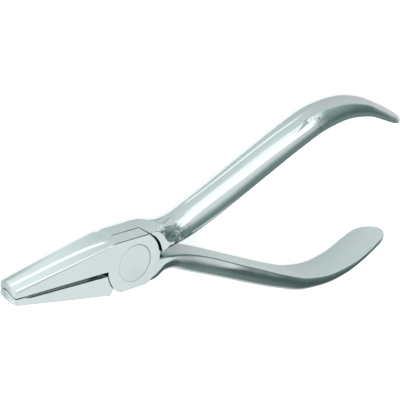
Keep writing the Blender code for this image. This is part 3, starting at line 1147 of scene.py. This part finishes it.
@dataclass(frozen=True)
class Half:
    """One half of the pliers: jaw, plate and handle in one piece of steel."""

    joint: JointSizes
    jaw: Jaw
    handle: Handle
    rivet: "Rivet"
    notch: Notch
    slot: str
    edge_rounding: float = 0.10 * MM
    plate_rounding: float = 0.28 * MM
    plate_segments: int = 3
    plate_rounding_start: float = 1.5 * MM
    plate_rounding_inset: float = 0.3 * MM
    plate_touch: float = 0.02 * MM
    top_rounding: float = 0.26 * MM
    top_segments: int = 4
    top_rounding_end: float = 5.2 * MM
    joint_reach: float = 1.5 * MM
    sharp_corners: tuple = ((4.9 * MM, 6.6 * MM), (8.6 * MM, 0.2 * MM))
    corner_reach: float = 1.2 * MM
    sharp_notch_start: float = -4.5 * MM
    sharp_notch_margin: float = 0.2 * MM

    @property
    def body(self) -> str:
        """The body that the half rides with."""
        return f"{self.jaw.side.value}_half"

    @property
    def node(self) -> str:
        """The solid that the half stands for."""
        return f"{self.jaw.side.value}_jaw_half"

    @property
    def name(self) -> str:
        """The name of the dressed half."""
        return f"{self.jaw.side.value}_half_steel"

    def cutters(self) -> list[tuple[str, Solid]]:
        """Return the steps that make the joint, in the half's own frame."""
        joint = self.joint
        far = self.handle.length
        top = joint.half_thickness
        high = top + joint.overrun
        floor = joint.plate_gap / 2
        root = joint.plate_radius + joint.root_length
        corner = math.sqrt(joint.plate_radius ** 2 - joint.half_height ** 2)
        reach = joint.plate_radius - self.notch.inset
        lean = self.notch.lean_share
        notch_floor = joint.half_height - self.notch.depth
        outline = (
            (-reach - joint.overrun * lean, joint.half_height + joint.overrun),
            (-reach + self.notch.depth * lean, notch_floor),
            (0, notch_floor),
            (0, joint.half_height + joint.overrun),
        )
        return [
            ("UNION", Solid("plate").drum(joint.plate_radius, floor, high)),
            ("UNION", self.handle.solid("handle")),
            ("DIFFERENCE", Solid("front_face").box((-far, -far, top), (root, far, far))),
            ("DIFFERENCE", Solid("back_face").box((-far, -far, -far), (root, far, -top))),
            ("DIFFERENCE", Solid("flat_top").box((-far, joint.half_height, -far), (far, far, far))),
            (
                "DIFFERENCE",
                Solid("flat_bottom").box((-far, -far, -far), (corner, -joint.half_height, far)),
            ),
            ("DIFFERENCE", Solid("pocket").drum(joint.shoulder_radius, -high, floor)),
            (
                "DIFFERENCE",
                Solid("crotch").drum(joint.crotch_radius, -high, floor, joint.crotch_shift),
            ),
            ("DIFFERENCE", Solid("notch").prism(outline, -high, floor)),
        ]

    def on_top_edge(self, place: Vector) -> bool:
        """Say whether a place is on the buffed long edge of the joint's flat side."""
        joint = self.joint
        return (
            abs(abs(place.y) - joint.half_height) < TOUCH
            and abs(abs(place.z) - joint.half_thickness) < TOUCH
            and place.y * place.z > 0 and place.x < self.top_rounding_end
        )

    def on_plate_edge(self, place: Vector) -> bool:
        """Say whether a place is on the outer edge of the plate, towards the handles."""
        joint = self.joint
        return (
            abs(math.hypot(place.x, place.y) - joint.plate_radius) < self.plate_touch
            and abs(abs(place.z) - joint.half_thickness) < TOUCH
            and place.x > 0 and place.y * place.z > 0
            and abs(place.y) > self.plate_rounding_start
            and abs(place.y) < joint.half_height - self.plate_rounding_inset
        )

    def in_joint(self, place: Vector) -> bool:
        """Say whether a place is on the joint's own edges, clear of the rivet."""
        joint = self.joint
        start = -joint.plate_radius - self.joint_reach
        return (
            math.hypot(place.x, place.y) > joint.plate_radius - self.joint_reach
            and start < place.x < joint.plate_radius + joint.root_length
            or abs(abs(place.y) - joint.half_height) < TOUCH
        ) and not (
            self.on_top_edge(place) or self.on_plate_edge(place) or self.at_corner(place)
            or self.in_shallow_notch(place)
        )

    def at_corner(self, place: Vector) -> bool:
        """Say whether a place is at a corner where plate, handle and flat side meet."""
        return place.x > 0 and any(
            math.hypot(place.x - x, abs(place.y) - y) < self.corner_reach
            for x, y in self.sharp_corners
        )

    def in_shallow_notch(self, place: Vector) -> bool:
        """Say whether a place is in the hollow half's notch, which is too shallow to round."""
        return (
            self.jaw.side is Side.HOLLOW and place.x < self.sharp_notch_start
            and place.y > self.joint.half_height - self.notch.depth - self.sharp_notch_margin
        )

    def build(self, material: bpy.types.Material) -> bpy.types.Object:
        """Model the half, put it in its place and dress it.

        Args:
            material: The steel that it is made of.

        Returns:
            The finished piece.
        """
        piece = self.jaw.solid(self.name).object()
        carve(piece, self.cutters())
        if self.jaw.side is Side.ROUND:
            piece.data.transform(Matrix.Rotation(math.pi, 4, "X"))
        carve(piece, [("DIFFERENCE", self.rivet.hole())])
        round_edges(piece, self.top_rounding, self.on_top_edge, self.top_segments)
        round_edges(piece, self.plate_rounding, self.on_plate_edge, self.plate_segments)
        round_edges(piece, self.edge_rounding, self.in_joint)
        piece.data.transform(Matrix.Translation((0, 0, -self.joint.half_thickness)))
        settle(piece, material)
        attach(piece, self.body)
        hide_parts(self.node)
        return piece


@dataclass(frozen=True)
class Rivet:
    """The rivet: a flush head in front, a shank, and a flush peened end behind."""

    joint: JointSizes
    node: str = "pivot_rivet"
    body: str = "hollow_half"
    name: str = "rivet"
    head_margin: float = 2.05 * MM
    head_depth: float = 1.8 * MM
    shank_radius: float = 2.7 * MM
    peen_radius: float = 4.0 * MM
    peen_depth: float = 1.5 * MM
    gap: float = 0.08 * MM
    off_middle: tuple[float, float] = (0.05 * MM, 0.02 * MM)
    rim: float = 0.03 * MM
    flat_inset: float = 0.09 * MM
    roughness: float = 0.09

    def profile(self, clearance: float) -> list[tuple[float, float]]:
        """Return the outer side, grown by a clearance, from front face to back face."""
        top = self.joint.half_thickness
        head = self.joint.half_height - self.head_margin + clearance
        head_floor = top - self.head_depth - clearance
        shank = self.shank_radius + clearance
        return [
            (head, top), (head, head_floor), (shank, head_floor),
            (shank, self.peen_depth - top + clearance),
            (self.peen_radius + clearance, clearance - top),
        ]

    def hole(self) -> Solid:
        """Return the cutter of the rivet's hole, run on past both faces."""
        reach = self.joint.half_thickness + self.joint.overrun
        sides = self.profile(self.gap)
        ends = [(0, reach), (sides[0][0], reach)], [(sides[-1][0], -reach), (0, -reach)]
        hole = Solid("rivet_hole").turned(ends[0] + sides + ends[1])
        bmesh.ops.translate(hole.bm, verts=hole.bm.verts, vec=(*self.off_middle, 0))
        return hole

    def build(self, material: bpy.types.Material) -> bpy.types.Object:
        """Model the rivet, put it in its place and dress it."""
        top = self.joint.half_thickness
        head, floor, inner, outer, peen = self.profile(0.0)
        profile = [
            (0, top), (head[0] - self.flat_inset, top), (head[0] - self.rim, top),
            (head[0], top - self.rim), floor, inner, outer, (peen[0], self.rim - top),
            (peen[0] - self.rim, -top), (peen[0] - self.flat_inset, -top), (0, -top),
        ]
        piece = Solid(self.name).turned(profile).object()
        piece.data.transform(Matrix.Translation((0, 0, -top)))
        settle(piece, material)
        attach(piece, self.body)
        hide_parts(self.node)
        return piece


@dataclass(frozen=True)
class Streaks:
    """Light that the polished sides throw on the table, beside the jaws and a handle."""

    jaw: Patch = Patch(((*X, -2 * MM, -4 * MM), (*X, -40 * MM, -38 * MM)), strength=1.1)
    jaw_side: float = 13.7 * MM
    jaw_width: float = 0.3 * MM
    jaw_growth: float = 0.08
    jaw_crispness: float = 3.5
    handle: Patch = Patch(((*X, 20 * MM, 23 * MM), (*X, 66 * MM, 58 * MM)), strength=0.8)
    handle_start: tuple[float, float] = (17.8 * MM, 10.1 * MM)
    handle_slope: float = 0.5634
    handle_bend: float = 0.00171 / MM
    handle_bend_start: float = 18.9 * MM
    handle_width: float = 1.1 * MM
    handle_crispness: float = 2.0

    def over(self, x: Socket, y: Socket) -> Socket:
        """Return the brightness of the streaks at a place on the table."""
        beside = 1.0 - ((y - self.jaw_side) / (self.jaw_width - self.jaw_growth * x)).size()
        jaw = self.jaw.over(x) * (beside * self.jaw_crispness).held()
        start_x, start_y = self.handle_start
        out = x - start_x
        slope = self.handle_slope - self.handle_bend * (out - self.handle_bend_start)
        beside = 1.0 - ((y - (start_y + out * slope)) / self.handle_width).size()
        return jaw + self.handle.over(x) * (beside * self.handle_crispness).held()


@dataclass(frozen=True)
class Table:
    """A white table, and the light that the mirroring pliers see on it."""

    height: float
    radius: float = 3.0
    segments: int = 64
    matt: Colour = (0.80, 0.80, 0.80)
    mirrored_far: Colour = (0.12, 0.16, 0.155)
    light: Colour = (0.96, 1.0, 1.0)
    camera_glow: float = 0.55
    near_glow: float = 0.19
    jaw_glow: Patch = Patch(((*X, 5 * MM, -25 * MM),), strength=0.28)
    far_glow: Patch = Patch(((*Y, 25 * MM, 90 * MM), (*X, 85 * MM, 50 * MM)), strength=0.22)
    tip_shade: Patch = Patch(((*X, 45 * MM, 75 * MM), (*Y, 10 * MM, 28 * MM)), strength=0.12)
    in_front: Patch = Patch(((*Y, -200 * MM, -80 * MM),), strength=0.25)
    close_by: Patch = Patch(((*Y, -80 * MM, -8 * MM),), strength=0.75)
    # A painted shadow of the jaws' tip on the table, seen only by mirrored rays.
    jaw_foot_shadow: Patch = Patch(
        (
            (*X, -41.5 * MM, -36.5 * MM), (*X, 0.0, -33 * MM),
            (*Y, 7 * MM, 4 * MM), (*Y, -7 * MM, -4 * MM),
        ),
        strength=0.4,
    )
    streaks: Streaks = Streaks()

    def build(self) -> None:
        """Make the table and light it."""
        bm = bmesh.new()
        bmesh.ops.create_circle(bm, cap_ends=True, segments=self.segments, radius=self.radius)
        bmesh.ops.translate(bm, verts=bm.verts, vec=(0, 0, self.height))
        mesh = bpy.data.meshes.new("table")
        bm.to_mesh(mesh)
        bm.free()
        mesh.materials.append(self.surface())
        table = bpy.data.objects.new("table", mesh)
        bpy.context.scene.collection.objects.link(table)
        table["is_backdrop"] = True

    def surface(self) -> bpy.types.Material:
        """Return the material: white to the camera, with painted light and shade where it is
        mirrored.
        """
        material = bpy.data.materials.new("white_table")
        graph = Graph(material)
        path = graph.add("ShaderNodeLightPath")
        camera, glossy, through = (
            graph.out(path, f"Is {kind} Ray") for kind in ("Camera", "Glossy", "Transmission")
        )
        mirrored = (glossy + through).held()
        spot = graph.spot("Object")
        axes = spot.x, spot.y
        near = (self.in_front.over(*axes) + self.close_by.over(*axes)) * (
            1.0 - self.jaw_foot_shadow.over(*axes)
        )
        glow = self.camera_glow * camera + mirrored * (
            (self.near_glow + self.jaw_glow.over(*axes)) * near + self.far_glow.over(*axes)
            - self.tip_shade.over(*axes) + self.streaks.over(*axes)
        ).larger(0.0)
        white = graph.mix_colours(
            mirrored * (1.0 - near), (*self.matt, 1.0), (*self.mirrored_far, 1.0)
        )
        matt = graph.add("ShaderNodeBsdfDiffuse", inputs={"Color": white})
        light = graph.add(
            "ShaderNodeEmission", inputs={"Color": (*self.light, 1.0), "Strength": glow}
        )
        graph.finish(graph.add(
            "ShaderNodeAddShader", inputs={0: graph.out(matt), 1: graph.out(light)}
        ))
        return material


@dataclass(frozen=True)
class Tent:
    """A light tent that is open, and dark, towards +X, with a ceiling and a lamp at its side.

    Brightness is what a white surface would show, where 1 is white. Directions are in
    degrees: azimuth from +X towards +Y, and elevation above the table.
    """

    wall: Colour = (1.00, 0.99, 0.99)
    ceiling: Colour = (1.08, 1.06, 1.06)
    lamp: Colour = (1.75, 1.70, 1.70)
    background: Colour = (1.0, 1.0, 1.0)
    ramp_start: float = -100.0
    ramp_length: float = 200.0
    opening_levels: tuple[tuple[float, float], ...] = (
        (-84, 1.00), (-68, 0.33), (-58, 0.15), (-48, 0.115), (-38, 0.15), (-28, 0.275),
        (-12, 0.275), (0, 0.17), (18, 0.165), (30, 0.235), (40, 0.32), (50, 0.37), (58, 0.50),
        (64, 0.74), (70, 0.95), (76, 1.00),
    )
    dark_tint: Colour = (0.76, 1.1, 1.05)
    bright_tint: Colour = (1.0, 0.99, 0.99)
    above_opening: Patch = Patch(((0.35, 1.0, 46.0, 84.0), (*ELEVATION, 44.0, 58.0)))
    below_opening: Patch = Patch(((*ELEVATION, 14.0, -2.0), (*AZIMUTH, -36.0, -10.0)))
    below_share: float = 0.35
    below_middle: Patch = Patch(((*AZIMUTH, 22.0, 8.0),), strength=0.45)
    shine: Patch = Patch(
        ((*ELEVATION, 32.0, 4.0), (*AZIMUTH, -24.0, -4.0), (*AZIMUTH, 24.0, 6.0)),
        strength=0.4,
    )
    ceiling_patch: Patch = Patch(
        ((*AZIMUTH, -31.0, -33.5), (*AZIMUTH, -100.0, -70.0), (-0.3, 1.0, 49.5, 52.0)),
    )
    crisp_lamp: Patch = Patch(((1.0, 0.62, 84.0, 92.0), (*ELEVATION, 12.0, 30.0)))
    soft_lamp: Patch = Patch(((*AZIMUTH, 56.0, 92.0), (*ELEVATION, -12.0, 8.0)), strength=0.7)
    lamp_end: Patch = Patch(((*AZIMUTH, 128.0, 112.0), (*ELEVATION, 59.0, 50.0)))

    def stops(self) -> list[tuple[float, Colour]]:
        """Return the ramp of the opening's brightness, greener where it is dark."""
        return [
            (
                (azimuth - self.ramp_start) / self.ramp_length,
                tuple(
                    level * blend(dark, bright, level)
                    for dark, bright in zip(self.dark_tint, self.bright_tint)
                ),
            )
            for azimuth, level in self.opening_levels
        ]

    def build(self) -> None:
        """Make the world, and let the camera see it as plain white."""
        world = bpy.data.worlds.new("tent")
        bpy.context.scene.world = world
        graph = Graph(world)
        spot = graph.spot("Generated")
        azimuth = spot.y.direction(spot.x) * math.degrees(1)
        elevation = spot.z.arc_sine() * math.degrees(1)
        way = azimuth, elevation
        ramp = graph.add(
            "ShaderNodeValToRGB", settings={"stops": self.stops()},
            inputs={"Fac": (azimuth - self.ramp_start) / self.ramp_length},
        )
        below = self.below_opening.over(*way) * (self.below_share + self.below_middle.over(*way))
        opening = (
            (1.0 - self.above_opening.over(*way)) * (1.0 - below) * (1.0 - self.shine.over(*way))
        )
        lamp = self.crisp_lamp.over(*way).larger(self.soft_lamp.over(*way))
        colour = graph.mix_colours(opening, (*self.wall, 1.0), graph.out(ramp))
        colour = graph.mix_colours(self.ceiling_patch.over(*way), colour, (*self.ceiling, 1.0))
        colour = graph.mix_colours(lamp * self.lamp_end.over(*way), colour, (*self.lamp, 1.0))
        camera = graph.out(graph.add("ShaderNodeLightPath"), "Is Camera Ray")
        shown = graph.mix_colours(camera, colour, (*self.background, 1.0))
        graph.finish(
            graph.add("ShaderNodeBackground", inputs={"Color": shown, "Strength": 1.0}),
            "ShaderNodeOutputWorld",
        )


@dataclass(frozen=True)
class Viewpoint:
    """The camera, at the place from which the photograph was taken."""

    location: Point = (-172.46 * MM, 133.31 * MM, 203.91 * MM)
    right: Point = (0.74470, 0.06866, 0.66385)
    up: Point = (0.21725, 0.91558, -0.33841)
    back: Point = (-0.63105, 0.39623, 0.66692)
    lens: float = 108.724
    sensor: float = 36.0
    clip_start: float = 10 * MM

    def build(self) -> None:
        """Make the camera and look through it."""
        data = bpy.data.cameras.new("camera")
        data.lens = self.lens
        data.sensor_width = self.sensor
        data.clip_start = self.clip_start
        camera = bpy.data.objects.new("camera", data)
        bpy.context.scene.collection.objects.link(camera)
        placed = Matrix((self.right, self.up, self.back)).transposed().to_4x4()
        placed.translation = Vector(self.location)
        camera.matrix_world = placed
        bpy.context.scene.camera = camera


def main() -> None:
    """Dress the pliers and light them."""
    logging.basicConfig(level=logging.INFO, format="%(message)s")
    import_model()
    solid_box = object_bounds()
    bpy.context.scene.view_settings.view_transform = "Standard"

    rivet_low, rivet_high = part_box("pivot_rivet")
    half_low, half_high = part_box("hollow_jaw_half")
    joint = JointSizes(thickness=rivet_high.z - rivet_low.z)
    rivet = Rivet(joint)
    steel = PolishedSteel("polished_steel").make()
    rivet_steel = PolishedSteel("rivet_steel", roughness=rivet.roughness).make()
    pieces = [
        Half(
            joint, Jaw(joint, JAW_OVERLENGTH - half_low.x, side),
            Handle(joint, half_high.x, side), rivet, notch, slot,
        ).build(steel)
        for side, notch, slot in (
            (Side.HOLLOW, HOLLOW_NOTCH, "polished_steel_front"),
            (Side.ROUND, ROUND_NOTCH, "polished_steel_back"),
        )
    ]
    pieces.append(rivet.build(rivet_steel))
    for piece in pieces:
        LOG.info("%s: %d faces", piece.name, len(piece.data.polygons))

    Table(solid_box[0].z - TABLE_GAP).build()
    Tent().build()
    Viewpoint().build()


if __name__ == "__main__":
    main()
